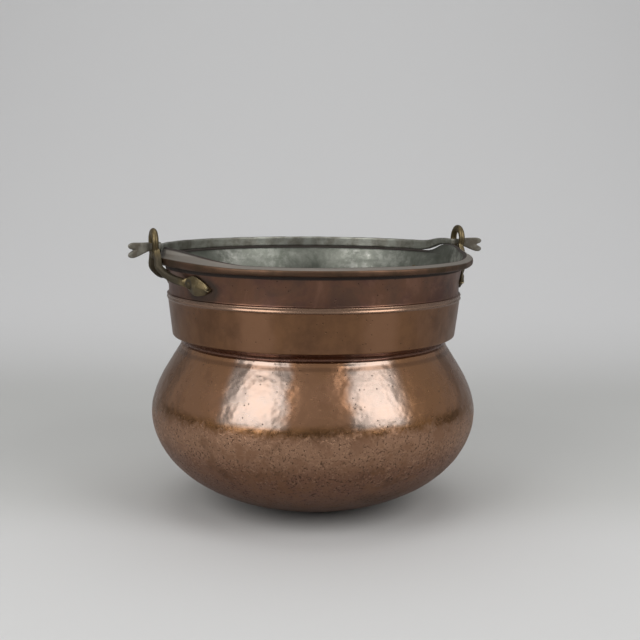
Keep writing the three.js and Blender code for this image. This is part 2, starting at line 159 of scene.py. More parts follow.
class Colours(bpy.types.PropertyGroup):
    """Colours of the finishes."""

    copper: colour("Copper", "Burnished copper", 0.33, 0.175, 0.10)
    golden: colour("Golden copper", "Oiled golden patches", 0.28, 0.135, 0.052)
    # Pale copper is painted highlight: it whitens the belly where the soft boxes shine, and the bright lines
    # of the bead.
    pale: colour("Pale copper", "Rubbed pale patches", 0.30, 0.232, 0.195)
    tan: colour("Tan copper", "Light flecks between the pits", 0.56, 0.335, 0.21)
    # Brown is also painted shade in the band under the waist ridge.
    brown: colour("Brown copper", "Brown oxide", 0.17, 0.088, 0.050)
    # Red is also painted shade in the groove under the collar.
    red: colour("Red copper", "Red oxide", 0.170, 0.090, 0.070)
    fired: colour("Fired copper", "Fire-worn bowl", 0.29, 0.155, 0.105)
    bronze: colour("Lip bronze", "Brown edge of the lip", 0.085, 0.056, 0.034)
    lip_grey: colour("Lip grey", "Tinned upper face of the lip", 0.27, 0.25, 0.22)
    # Grime is also painted shade: the black line under the rolled lip and under the bail at the back.
    grime_and_shade: colour("Grime", "Soot and dirt in the corners", 0.020, 0.014, 0.011)
    verdigris: colour("Verdigris", "Grey-green dirt round the feet of the ears", 0.055, 0.060, 0.054)
    tin: colour("Tin", "Tinned inside", 0.25, 0.255, 0.22)
    dull_tin: colour("Dull tin", "Tarnished tin", 0.125, 0.134, 0.110)
    bright_tin: colour("Bright tin", "Rubbed tin", 0.56, 0.56, 0.51)
    brass: colour("Brass", "Aged cast brass", 0.19, 0.145, 0.075)
    bright_brass: colour("Bright brass", "Rubbed edges of the ears", 0.52, 0.43, 0.26)
    dark_brass: colour("Dark brass", "Hollows of the ears", 0.045, 0.036, 0.022)
    iron: colour("Iron", "Forged bar", 0.36, 0.365, 0.32)
    bright_iron: colour("Bright iron", "Rubbed edges of the bar", 0.50, 0.495, 0.445)
    rust: colour("Rust", "Brown oxide on the bar", 0.095, 0.076, 0.052)
    floor: colour("Floor", "Floor", 0.63, 0.63, 0.625)
    # Far floor is painted shade: the floor behind the cauldron is darker.
    far_floor_shade: colour("Far floor", "Floor behind the cauldron", 0.565, 0.567, 0.553)
    backdrop: colour("Backdrop", "Backdrop", 0.745, 0.745, 0.748)
    mirrored_floor: colour("Mirrored floor", "Floor and backdrop as the metal shows them", 0.42, 0.42, 0.42)


# Lines that the shapes follow

PROFILE_STEP = 0.45 * MM
LINING_REACH = 4.0 * MM  # the inside of a shell needs fewer points than its outside


def mix(a, b, share):
    """The value at a share of the way from a to b."""
    return a + (b - a) * share


def smooth(value, low, high):
    """An eased step from 0 at low to 1 at high."""
    share = min(max((value - low) / (high - low), 0.0), 1.0)
    return share * share * (3 - 2 * share)


def marks(radius, height, *offsets):
    """Points at distances in millimetres from a radius and a height."""
    return [Vector((radius + out * MM, height + up * MM)) for out, up in offsets]


def bezier(start, leave, arrive, end, steps):
    """Points on a Bezier curve in the plane of radius and height."""
    return [p.to_2d() for p in interpolate_bezier(start, leave, arrive, end, steps)]


def arc(centre, across, up, start, end, steps):
    """Points on part of an ellipse, between two angles in degrees."""
    turns = [math.radians(mix(start, end, i / steps)) for i in range(steps + 1)]
    return [Vector((centre[0] + across * math.cos(t), centre[1] + up * math.sin(t))) for t in turns]


def even(points, step):
    """The same line with points at an even step."""
    line = [points[0]]
    for a, b in zip(points, points[1:]):
        parts = max(1, round((b - a).length / step))
        line += [a.lerp(b, (i + 1) / parts) for i in range(parts)]
    return line


def eased(points, passes):
    """The same line with its corners rounded."""
    for _ in range(passes):
        middle = [(a + b * 2 + c) / 4 for a, b, c in zip(points, points[1:], points[2:])]
        points = [points[0], *middle, points[-1]]
    return points


def thinned(points, reach, turn):
    """The same line with points only where it bends or has run on for long."""
    kept = [points[0]]
    bend = 0.0
    for before, here, after in zip(points, points[1:], points[2:]):
        bend += abs((here - before).angle(after - here, 0.0))
        if bend > turn or (here - kept[-1]).length > reach:
            kept.append(here)
            bend = 0.0
    return [*kept, points[-1]]


def profile(points, passes=3, reach=2.6 * MM, turn=0.09):
    """A line made ready for turning: corners eased, points only where they are needed."""
    return thinned(eased(even(points, PROFILE_STEP), passes), reach, turn)


def inward(points, distance):
    """A line at a distance to the left of an upward line, which is towards the axis."""
    line = []
    for i, point in enumerate(points):
        along = (points[min(i + 1, len(points) - 1)] - points[max(i - 1, 0)]).normalized()
        line.append(point + Vector((-along.y, along.x)) * distance)
    return line


def spline(points, steps):
    """A smooth line through points, with the same number of steps between each two."""
    line = []
    padded = [points[0] * 2 - points[1], *points, points[-1] * 2 - points[-2]]
    for a, b, c, d in zip(padded, padded[1:], padded[2:], padded[3:]):
        line += interpolate_bezier(b, b + (c - a) / 6, c - (d - b) / 6, c, steps + 1)[:-1]
    return [*line, points[-1]]


# Shape of the vessel

ROLL_CORNER = 2.2 * MM
LIFT_FOOT = 233.5 * MM  # the neck starts to lean up with the lifted lip here
BELLY_MARK, COLLAR_MARK = 0.16 * MM, 0.10 * MM  # depths of the hammer marks
SEAM_EDGE = 6 * MM


def bowl_line(s, low, high, steps):
    """Outside of the bowl between two heights, on an ellipse cut off flat where the bowl stands."""
    rest = (s.rest_radius / s.belly_radius) ** (1 / s.bowl_fullness)
    depth = s.belly_height / math.sqrt(1 - rest**2)
    start, end = (math.asin((z - s.belly_height) / depth) for z in (low, high))
    line = []
    for i in range(steps + 1):
        turn = mix(start, end, i / steps)
        radius = s.belly_radius * math.cos(turn) ** s.bowl_fullness
        line.append(Vector((radius, s.belly_height + depth * math.sin(turn))))
    return line


def neck_radius(s, height):
    """Outside radius of the neck, which flares upwards."""
    foot = s.collar_top_height + s.bead_height
    share = min(max((height - foot) / (s.neck_top_height - foot), 0.0), 1.0)
    return mix(s.neck_foot_radius, s.neck_top_radius, share**s.neck_flare)


def wall_line(s):
    """Outside of the upper body from the seam to the bend under the lip."""
    rise = s.waist_height - s.belly_height
    belly = bowl_line(s, s.seam_height, s.belly_height, 8)
    shoulder = bezier(
        Vector((s.belly_radius, s.belly_height)),
        Vector((s.belly_radius, s.belly_height + rise * 0.33)),
        Vector((mix(s.waist_radius, s.belly_radius, 0.5), s.waist_height - rise * 0.35)),
        *marks(s.waist_radius, s.waist_height, (2.1, -3.3)),
        40,
    )
    edge = [(2.05, -2.6), (1.6, -1.2), (0.8, -0.2), (-0.3, 0.6)]
    groove = marks(s.waist_radius, s.waist_height, *edge)
    leave = marks(s.waist_radius, s.waist_height, (-0.3, 1.4), (1.2, 5))
    arrive = marks(s.collar_foot_radius, s.collar_foot_height, (-4, -1.4), (0, 0))
    foot = bezier(*leave, *arrive, 8)
    top = Vector((s.collar_top_radius, s.collar_top_height))
    ridge = arc((0, 0.24), 1.0, 0.22, -80, 80, 6) + arc((0, 0.76), 0.9, 0.22, -80, 80, 6)
    bead = [top + Vector((s.bead_proud * p.x, s.bead_height * p.y)) for p in ridge]
    neck_foot = s.collar_top_height + s.bead_height
    heights = [mix(neck_foot, s.neck_top_height, i / 12) for i in range(13)]
    neck = [Vector((neck_radius(s, z), z)) for z in heights]
    return [*belly, *shoulder[1:], *groove, *foot, top, *bead, *neck]


def lip_line(s):
    """Underside of the lip, the rolled edge and the lip's upper face, to its inner edge."""
    top = s.lip_height - s.lip_fall
    leave = marks(s.neck_top_radius, s.neck_top_height, (0, 0), (0.2, 0.6))
    arrive = marks(s.neck_top_radius, top - s.sheet, (0.8, 0), (1.4, 0))
    line = bezier(*leave, *arrive, 6)
    inner = s.lip_radius - s.roll_height
    line.append(Vector((inner, top - s.sheet - 0.2 * MM)))
    outer = s.lip_radius - ROLL_CORNER
    low = top - s.roll_height + ROLL_CORNER
    corners = ((inner + ROLL_CORNER, low, 180), (outer, low, 270), (outer, top - ROLL_CORNER, 0))
    for radius, height, start in corners:
        line += arc((radius, height), ROLL_CORNER, ROLL_CORNER, start, start + 90, 5)
    line += marks(s.neck_top_radius, s.lip_height, (3.4, -0.5), (0.4, 0))
    return line + marks(s.neck_top_radius - s.sheet, s.lip_height, (0, -1.2))


def lift_at(s, x, y, z):
    """How far the lip stands up at a point: most in front of the ears and at the inner edge."""
    radius = math.hypot(x, y)
    from_ear = math.copysign(math.acos(min(abs(x) / max(radius, 1e-9), 1.0)), -y)
    front = smooth(from_ear, -s.lift_back, 0) * (1 - smooth(from_ear, s.lift_full, s.lift_end))
    middle = s.roll_height / 2
    out = smooth(radius, s.neck_top_radius, s.lip_radius - middle)
    across = mix(1, 0.3, out)
    if x > 0:  # at this ear only the edge close to the ring stands up
        near = mix(0.85, 0.4, smooth(abs(from_ear), math.radians(5), math.radians(18)))
        across *= mix(near, 1.0, out)
    return s.lift * front * across * smooth(z, LIFT_FOOT, s.lip_height - s.lip_fall - middle)


def wavered(spot, size, amount, seed=0.0):
    """A hand-made unevenness at a point: waves of a size, up to an amount."""
    return amount * noise.noise(spot / size + Vector((seed, seed * 0.7, seed * 1.3)))


def hammer_mark(spot, deep):
    """Planishing marks on a turned wall, over a slow waver of the sheet."""
    return wavered(spot, 11 * MM, deep) + wavered(spot, 34 * MM, 0.35 * MM, 5.0)


def seam_wave(bearing):
    """How far the seam wanders up or down, the same in both shells."""
    return wavered(bearing, 0.09, 0.4 * MM, 7.0)


# Mesh tools

SHARP_EDGE = math.radians(50)


def edges_of(verts):
    """The edges that meet at vertices."""
    return list({edge for vert in verts for edge in vert.link_edges})


def spun(mesh, geom, centre, axis, steps):
    """Spins vertices and edges once round an axis."""
    bmesh.ops.spin(mesh, geom=geom, cent=centre, axis=axis, angle=math.tau, steps=steps, use_merge=True)


def turned(mesh, points, steps, finish=0):
    """Spins a line of (radius, height) points about the Z axis and gives its faces a finish."""
    before = set(mesh.faces)
    verts = [mesh.verts.new((p.x, 0, p.y)) for p in points]
    edges = [mesh.edges.new(pair) for pair in zip(verts, verts[1:])]
    spun(mesh, [*verts, *edges], (0, 0, 0), (0, 0, 1), steps)
    for face in mesh.faces:
        if face not in before:
            face.material_index = finish


def drawn_out(mesh, edges):
    """Extrudes edges in place and returns the new vertices and edges."""
    made = bmesh.ops.extrude_edge_only(mesh, edges=edges)["geom"]
    verts = [g for g in made if isinstance(g, bmesh.types.BMVert)]
    return verts, [g for g in made if isinstance(g, bmesh.types.BMEdge) and set(g.verts) <= set(verts)]


def skinned(mesh, rings):
    """Extrudes a closed loop through rings of equal length and caps both ends."""
    place = mesh.verts.layers.int["place"]
    loop = bmesh.ops.create_circle(mesh, segments=len(rings[0]), radius=1.0)["verts"]
    for i, vert in enumerate(loop):
        vert[place] = i
        vert.co = rings[0][i]
    edges = edges_of(loop)
    bmesh.ops.contextual_create(mesh, geom=edges)
    for ring in rings[1:]:
        verts, edges = drawn_out(mesh, edges)
        for vert in verts:
            vert.co = ring[vert[place]]
    bmesh.ops.contextual_create(mesh, geom=edges)


def new_mesh():
    """A bmesh with layers for a vertex's place in a loop, its height and its share of the lift."""
    mesh = bmesh.new()
    mesh.verts.layers.int.new("place")
    mesh.verts.layers.float.new("height")
    mesh.verts.layers.float.new("lift")
    return mesh


def closed(mesh):
    """Joins seams and poles, turns faces outwards, keeps sharp edges and stores heights."""
    bmesh.ops.remove_doubles(mesh, verts=mesh.verts, dist=2e-6)
    bmesh.ops.dissolve_degenerate(mesh, edges=mesh.edges, dist=1e-7)
    bmesh.ops.recalc_face_normals(mesh, faces=mesh.faces)
    for face in mesh.faces:
        face.smooth = True
    for edge in mesh.edges:
        edge.smooth = edge.calc_face_angle(0.0) < SHARP_EDGE
    height = mesh.verts.layers.float["height"]
    for vert in mesh.verts:
        vert[height] = vert.co.z
    mesh.normal_update()


def as_object(name, mesh, finishes):
    """Makes a finished mesh an object of the scene."""
    data = bpy.data.meshes.new(name)
    mesh.to_mesh(data)
    mesh.free()
    for finish in finishes:
        data.materials.append(finish)
    made = bpy.data.objects.new(name, data)
    bpy.context.scene.collection.objects.link(made)
    return made


def as_piece(name, mesh, finishes, body, node):
    """Makes a finished mesh a piece that stands for a CAD node and rides on its body."""
    piece = as_object(name, mesh, finishes)
    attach(piece, body)
    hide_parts(node)
    return piece


def cast(piece, voxel, passes):
    """Fuses a piece's crossing solids into one skin and softens it as a casting or forging is."""
    fuse = piece.modifiers.new("fuse", "REMESH")
    fuse.mode = "VOXEL"
    fuse.voxel_size = voxel
    fuse.use_smooth_shade = True
    soften = piece.modifiers.new("soften", "SMOOTH")
    soften.factor = 0.5
    soften.iterations = passes
    made = piece.evaluated_get(bpy.context.evaluated_depsgraph_get())
    data = bpy.data.meshes.new_from_object(made)
    data.name = piece.name
    piece.modifiers.clear()
    piece.data = data


def beaten(piece, size, amount, seed):
    """Moves a piece's skin in and out by small hammer marks, and stores where its edges are rubbed."""
    mesh = bmesh.new()
    mesh.from_mesh(piece.data)
    mesh.normal_update()
    for vert in mesh.verts:
        vert.co += vert.normal * wavered(vert.co, size, amount, seed)
    mesh.normal_update()
    wear = mesh.verts.layers.float.new("wear")
    for vert in mesh.verts:
        spans = [edge.other_vert(vert).co - vert.co for edge in vert.link_edges]
        stand = sum(span.normalized().dot(vert.normal) for span in spans) / max(len(spans), 1)
        vert[wear] = -stand
    for _ in range(2):
        even_wear = []
        for vert in mesh.verts:
            around = [edge.other_vert(vert)[wear] for edge in vert.link_edges]
            even_wear.append(sum(around, vert[wear]) / (len(around) + 1))
        for vert, value in zip(mesh.verts, even_wear):
            vert[wear] = value
    for face in mesh.faces:
        face.smooth = True
    mesh.to_mesh(piece.data)
    mesh.free()


# Finishes


class Field:
    """A shader value. Sums and products with it add Math nodes."""

    def __init__(self, finish, socket):
        self.finish = finish
        self.socket = socket

    def math(self, operation, *others):
        """A Math node on this value and others, in their order."""
        sockets = dict(enumerate((self, *others)))
        return self.finish.value("ShaderNodeMath", {"operation": operation}, sockets)

    def __add__(self, other):
        return self.math("ADD", other)

    __radd__ = __add__

    def __mul__(self, other):
        return self.math("MULTIPLY", other)

    __rmul__ = __mul__

    def __sub__(self, other):
        return self.math("SUBTRACT", other)

    def __rsub__(self, other):
        return self.finish.value("ShaderNodeMath", {"operation": "SUBTRACT"}, {0: other, 1: self})

    def __truediv__(self, other):
        return self.math("DIVIDE", other)

    def __abs__(self):
        return self.math("ABSOLUTE")

    def step(self, low, high):
        """An eased step from 0 at low to 1 at high."""
        sockets = {"Value": self, "From Min": low, "From Max": high}
        return self.finish.value("ShaderNodeMapRange", {"interpolation_type": "SMOOTHSTEP"}, sockets)

    def past(self, line, low, high):
        """An eased step between two distances in millimetres from a line."""
        return self.step(line + low * MM, line + high * MM)

    def band(self, low, high, edge):
        """1 between two values, with eased edges."""
        return self.step(low - edge, low + edge) * (1 - self.step(high - edge, high + edge))


class Finish:
    """Builds one procedural material on Object coordinates."""

    def __init__(self, name):
        self.material = bpy.data.materials.new(name)
        self.material.use_nodes = True
        self.tree = self.material.node_tree
        self.tree.nodes.clear()
        self.shader = self.tree.nodes.new("ShaderNodeBsdfPrincipled")
        output = self.tree.nodes.new("ShaderNodeOutputMaterial")
        self.tree.links.new(self.shader.outputs[0], output.inputs["Surface"])
        self.place = self.value("ShaderNodeTexCoord", {}, {}, "Object")
        split = self.node("ShaderNodeSeparateXYZ", {}, {0: self.place})
        self.x, self.y, self.z = (Field(self, socket) for socket in split.outputs)

    def node(self, kind, settings, sockets):
        """Adds a node: its settings first, then the values or links of its sockets."""
        node = self.tree.nodes.new(kind)
        for name, value in settings.items():
            setattr(node, name, value)
        for name, value in sockets.items():
            self.feed(node.inputs[name], value)
        return node

    def value(self, kind, settings, sockets, output=0):
        """One output of a new node, as a value to go on with."""
        return Field(self, self.node(kind, settings, sockets).outputs[output])

    def feed(self, socket, value):
        """Links a value to a socket, or sets the socket to a number or colour."""
        if isinstance(value, Field):
            self.tree.links.new(value.socket, socket)
        elif socket.type == "RGBA":
            socket.default_value = (*value, 1.0)
        else:
            socket.default_value = value

    def attribute(self, name):
        """A value that is stored on the mesh."""
        return self.value("ShaderNodeAttribute", {"attribute_name": name}, {}, "Fac")

    def stretched(self, x, y, z):
        """Object coordinates with a scale for each axis."""
        return self.value("ShaderNodeMapping", {}, {"Vector": self.place, "Scale": (x, y, z)})

    def clouds(self, scale, detail=4.0, roughness=0.55, place=None, warp=0.0):
        """Soft noise with a number of waves to the metre."""
        sockets = {"Vector": place or self.place, "Scale": scale, "Detail": detail}
        sockets |= {"Roughness": roughness, "Distortion": warp}
        return self.value("ShaderNodeTexNoise", {}, sockets)

    def cells(self, scale):
        """A pattern of cells with a number to the metre."""
        return self.value("ShaderNodeTexVoronoi", {}, {"Vector": self.place, "Scale": scale})

    def dents(self, scale, smoothness):
        """Shallow dents with a number to the metre."""
        sockets = {"Vector": self.place, "Scale": scale, "Smoothness": smoothness}
        return self.value("ShaderNodeTexVoronoi", {"feature": "SMOOTH_F1"}, sockets)

    def coated(self, tone, *coats):
        """A colour under coats, each with its share and its colour."""
        for share, coat in coats:
            tone = self.value("ShaderNodeMix", {"data_type": "RGBA"}, {0: share, 6: tone, 7: coat}, 2)
        return tone

    def bump(self, height, distance, strength):
        """A normal from a height."""
        sockets = {"Height": height, "Distance": distance, "Strength": strength}
        return self.value("ShaderNodeBump", {}, sockets)

    def surface(self, **inputs):
        """Feeds the shader and returns the material. Words in names are split by underscores."""
        for name, value in inputs.items():
            self.feed(self.shader.inputs[name.replace("_", " ").title()], value)
        return self.material


def copper_zones(f, s):
    """Where on the vessel a point of its skin lies, as shares from 0 to 1."""
    height, lift = f.attribute("height"), f.attribute("lift")
    radius = (f.x * f.x + f.y * f.y).math("SQRT")
    ragged = (f.clouds(26, 5, 0.65) - 0.5) * 0.024 + (f.clouds(330, 2) - 0.5) * 0.016
    neck_foot = s.collar_top_height + s.bead_height
    bands = {  # from a height and its offset to another, with the softness of the edges, in millimetres
        "collar": (s.collar_foot_height, -2, s.collar_top_height, 0, 1),
        # groove: painted shade, the recess under the collar foot is darkened red
        "groove": (s.waist_height, 0.2, s.collar_foot_height, -1, 0.7),
        # painted shade: a darker band just under the waist ridge
        "ridge_foot": (s.waist_height, -7.6, s.waist_height, -4.2, 1),
        "golden": (s.belly_height, 5, s.belly_height, 15, 4),
        # rubbed: painted highlight on the belly, pale copper where the soft boxes shine
        "rubbed": (s.belly_height, 13, s.waist_height, 1, 3),
        "bead": (s.collar_top_height, 0.4, neck_foot, -0.4, 0.4),
        "seam": (s.seam_height, -0.5, s.seam_height, 0.4, 0.5),
    }
    zone = SimpleNamespace(height=height)
    for name, (low, over, high, under, edge) in bands.items():
        setattr(zone, name, height.band(low + over * MM, high + under * MM, edge * MM))
    turn = f.y.math("ARCTAN2", f.x)
    # Eight lobes round the vessel, kept to the side that faces the camera, place the painted highlight on the
    # belly and the painted reflection on the collar.
    painted_light_lobes = (turn * 8 - math.radians(32)).math("COSINE") + (f.clouds(55, 4, 0.6) - 0.5) * 0.8
    front = (f.x * math.sin(VIEW_TURN) - f.y * math.cos(VIEW_TURN)) / radius
    zone.rubbed = zone.rubbed * painted_light_lobes.step(-0.4, 0.2) * front.step(0.81, 0.88)
    zone.wiped = painted_light_lobes.step(0.2, 1.0) * front.step(0.80, 0.88)
    zone.worn = 1 - (height + ragged).past(s.belly_height, -1, 13)
    zone.bottom = 1 - height.past(0, 8, 46)
    zone.neck = height.past(neck_foot, -1.2, 0)
    zone.lip = radius.past(s.neck_top_radius, 1.3, 1.9) * height.step(0.233, 0.235)
    zone.lip_top = zone.lip * height.past(s.lip_height, -2.6, -1.7)
    right_plate = f.x.step(0.12, 0.13) * lift.step(0.2, 0.28) * 0.7
    zone.plate = lift.step(0.42, 0.55).math("MAXIMUM", right_plate)
    # painted shadow: a black line on the neck under the rolled lip, and on the lip under the bail at the back
    painted_lip_shadow = height.past(s.neck_top_height, -7.4, -6.4) * (1 - zone.lip)
    painted_bail_shadow = height.past(s.lip_height, -2.2, -1.4) * f.y.step(-0.01, 0.04)
    zone.dirt = (painted_lip_shadow + painted_bail_shadow).math("MINIMUM", 1.0)
    return zone


def foot_dirt(f):
    """Dirt round the leaf feet, which are the same in all four corners."""
    along = abs(abs(f.y) - 0.059) / 0.023
    up = abs(f.z - 0.2200) / 0.0135
    reach = (along * along + up * up).math("SQRT")
    beside = abs(f.x).step(0.10, 0.112)
    return (1 - (reach + (f.clouds(90, 3) - 0.5) * 0.5).step(0.75, 1.1)) * beside


def copper_finish(name, c, s):
    """Hammered copper: burnished on the belly, brown above it, red and pitted towards the fire, with painted
    highlight and painted reflection on the side that faces the camera, and painted shade under the lip, under
    the bail, under the waist ridge and in the groove.
    """
    f = Finish(name)
    zone = copper_zones(f, s)
    patches = f.clouds(9, 3, 0.5, warp=0.8)
    mottle = f.clouds(46, 6, 0.62)
    blotches = f.clouds(60, 5, 0.68)
    stains = f.clouds(30, 5, 0.68, warp=0.6)
    grain = f.clouds(420, 3, 0.6)
    strokes = f.clouds(1, 4, 0.6, f.stretched(22, 22, 420))
    wipes = f.clouds(1, 4, 0.6, f.stretched(34, 34, 7))
    pitted = zone.worn * (1 - zone.bottom * 0.85)
    pits = f.clouds(430, 4, 0.8).step(0.53, 0.62) * blotches.step(0.34, 0.52) * pitted
    flecks = f.clouds(310, 4, 0.8).step(0.52, 0.62) * blotches.step(0.38, 0.52) * pitted
    flecks = flecks * zone.height.past(0, 30, 75)
    specks = (1 - f.cells(210).step(0.08, 0.15)) * f.clouds(60, 2).step(0.44, 0.52)
    streaks = 0.2 + wipes.step(0.38, 0.66) * 0.35 + blotches.step(0.4, 0.65) * 0.3
    scoured = zone.worn * zone.height.past(0, 60, 84)
    tone = f.coated(
        c.copper,
        (patches.step(0.40, 0.60) * 0.4, c.golden),
        (mottle.step(0.50, 0.72) * 0.45, c.brown),
        (zone.golden * 0.75, c.golden),
        # painted highlight: pale copper on the front of the belly
        (zone.rubbed * (0.8 + mottle.step(0.3, 0.6) * 0.2), c.pale),
        # painted shade: a darker band just under the waist ridge
        (zone.ridge_foot * 0.6, c.brown),
        (zone.collar * streaks, c.brown),
        # painted reflection: lighter copper patches on the front of the collar, over its brown streaks
        (zone.collar * zone.wiped * 0.95, c.copper),
        # painted highlight: the bead is paler so that its bright lines read whiter
        (zone.bead * 0.45, c.pale),
        (zone.neck * (0.7 + mottle.step(0.42, 0.66) * 0.28), c.red),
        (zone.neck * wipes.step(0.52, 0.7) * 0.35, c.brown),
        (zone.neck * stains.step(0.48, 0.64) * 0.28, c.verdigris),
        (zone.neck * (1 - stains).step(0.52, 0.66) * 0.6, c.fired),
        (zone.worn * (0.4 + blotches.step(0.36, 0.62) * 0.5), c.fired),
        (zone.worn * f.clouds(24, 4, 0.65).step(0.50, 0.64) * 0.65, c.brown),
        (scoured * (0.2 + blotches.step(0.3, 0.6) * 0.4), c.tan),
        (flecks * 0.8, c.tan),
        (zone.bottom * 0.6, c.brown),
        ((pits * 0.78 + specks * 0.75).math("MINIMUM", 0.9), c.grime_and_shade),
        (zone.seam * f.clouds(34, 3).step(0.44, 0.56) * 0.5, c.tan),
        (zone.lip * (0.6 + mottle.step(0.4, 0.7) * 0.4), c.bronze),
        ((zone.lip_top * 0.8).math("MAXIMUM", zone.plate * 0.9), c.lip_grey),
        # painted shade: the groove under the collar foot is darkened
        (zone.groove * 0.8, c.red),
        (foot_dirt(f) * (0.3 + mottle * 0.6), c.verdigris),
        # painted shade under the rolled lip and under the bail
        (zone.dirt * 0.96, c.grime_and_shade),
    )
    rough = 0.22 + mottle.step(0.35, 0.75) * 0.09 + strokes.step(0.5, 0.8) * 0.04
    rough = rough + zone.collar * 0.06 + zone.neck * 0.12 + zone.worn * 0.15
    rough = rough + pits * 0.15 + zone.lip * 0.10 + zone.dirt * 0.5
    belly = 1 - zone.height.step(s.waist_height, s.collar_foot_height) * 0.6
    height = (f.dents(95, 0.7) * 0.42 + f.dents(200, 0.5) * 0.2) * belly + strokes * 0.03 + grain * 0.025
    height = height - pits * 0.22 + flecks * 0.07 - specks * 0.3 + zone.seam * 0.08
    dull = (zone.lip_top * 0.4).math("MAXIMUM", zone.plate * 0.7).math("MAXIMUM", zone.dirt)
    normal = f.bump(height, 1.1 * MM, 0.6)
    return f.surface(base_color=tone, metallic=1 - dull, roughness=rough, normal=normal)


def tin_finish(name, c, s):
    """Wiped tin: grey, cloudy, with rubbed bright patches, painted shade and painted sheen in bands round the
    upper wall, and painted shade under the bail.
    """
    f = Finish(name)
    cloud = f.clouds(18, 5, 0.62, warp=0.8)
    mottle = f.clouds(120, 6, 0.7)
    wipes = f.clouds(1, 4, 0.6, f.stretched(16, 16, 130))
    grain = f.clouds(500, 3)
    # Painted shade and sheen: six bands round the upper inside wall, dull in the middle of the far wall and
    # at each sixth of a turn from it, bright halfway between.
    turn = f.y.math("ARCTAN2", f.x) - math.radians(69.5)
    painted_inner_shade_and_sheen = (turn * 6).math("COSINE") * f.z.step(0.13, 0.19)
    rubbed = (0.25 + cloud.step(0.40, 0.58) * 0.75) * (1 - painted_inner_shade_and_sheen.step(-0.6, 0.6) * 0.85)
    specks = (1 - f.cells(95).step(0.04, 0.10)) * f.clouds(50, 2).step(0.52, 0.6)
    # painted shade: black along the inner edge of the lip at the back, under the bail
    edge = f.z.past(s.lip_height, -3.0, -2.2) * f.y.step(-0.01, 0.05)
    tone = f.coated(
        c.dull_tin,
        (cloud.step(0.36, 0.62), c.tin),
        # painted shade and painted sheen on the upper inside wall
        (painted_inner_shade_and_sheen.step(-0.1, 0.9) * 0.35, c.dull_tin),
        ((0 - painted_inner_shade_and_sheen).step(-0.2, 0.8) * 0.12, c.bright_tin),
        (mottle.step(0.42, 0.62) * rubbed, c.bright_tin),
        (wipes.step(0.52, 0.75) * 0.4, c.dull_tin),
        (specks * 0.7, c.grime_and_shade),
        # painted shade under the bail at the back
        (edge * 0.95, c.grime_and_shade),
    )
    rough = 0.34 + mottle * 0.2 + wipes.step(0.4, 0.7) * 0.1 + edge * 0.4
    height = f.dents(80, 0.7) * 0.5 + wipes * 0.12 + mottle * 0.08 + grain * 0.03
    normal = f.bump(height, 1.2 * MM, 0.5)
    return f.surface(base_color=tone, metallic=0.9 - edge * 0.9, roughness=rough, normal=normal)


def worn_finish(name, base, bright, dark, coarse, rough, darkened=None, rub=0.05):
    """Cast or forged metal that is dark in its hollows and rubbed bright on its edges."""
    f = Finish(name)
    wear = f.attribute("wear")
    mottle = f.clouds(coarse, 5, 0.65)
    rubbed = (wear + (mottle - 0.5) * 0.06).step(rub, rub + 0.09)
    darkening = darkened(f) if darkened else 0.0
    tone = f.coated(
        base,
        (f.clouds(60, 5, 0.6).step(0.35, 0.65) * 0.6, dark),
        (mottle.step(0.5, 0.75) * 0.3, bright),
        ((0 - wear).step(0.01, 0.07) * 0.85, dark),
        (rubbed * 0.8, bright),
        (darkening, dark),
    )
    finish_rough = rough + mottle * 0.22 - rubbed * 0.1 + darkening * 0.3
    normal = f.bump(mottle * 0.5 + f.clouds(900, 3) * 0.12, 0.6 * MM, 0.5)
    return f.surface(base_color=tone, metallic=0.95 - darkening * 0.6, roughness=finish_rough, normal=normal)


def floor_finish(name, c):
    """Pale paper with painted shade on the floor behind the cauldron, which shows darker in the metal than to
    the eye.
    """
    f = Finish(name)
    depth = f.y * math.cos(VIEW_TURN) - f.x * math.sin(VIEW_TURN)
    mirrored = f.value("ShaderNodeLightPath", {}, {}, "Is Glossy Ray")
    tone = f.coated(
        c.floor,
        # painted shade: darker floor behind the cauldron
        (depth.step(-0.15, 0.02), c.far_floor_shade),
        (depth.step(0.42, 1.0), c.backdrop),
        (mirrored, c.mirrored_floor),
    )
    return f.surface(base_color=tone, roughness=0.9)


# Pieces

EAR_VOXEL, BAIL_VOXEL = 0.42 * MM, 0.7 * MM
BAIL_SINK = 0.9 * MM  # the bar's softened underside bears on the lip
TAIL_STEPS = 12


def settings():
    """The sizes and colours in use."""
    scene = bpy.context.scene
    return scene.cauldron_vessel, scene.cauldron_fittings, scene.cauldron_colours


def finish_named(name, make, *values):
    """A finish that is made once and then shared."""
    return bpy.data.materials.get(name) or make(name, *values)


def shell_finishes(c, s):
    """Copper outside and tin inside, for both shells."""
    return [finish_named("hammered_copper", copper_finish, c, s), finish_named("wiped_tin", tin_finish, c, s)]


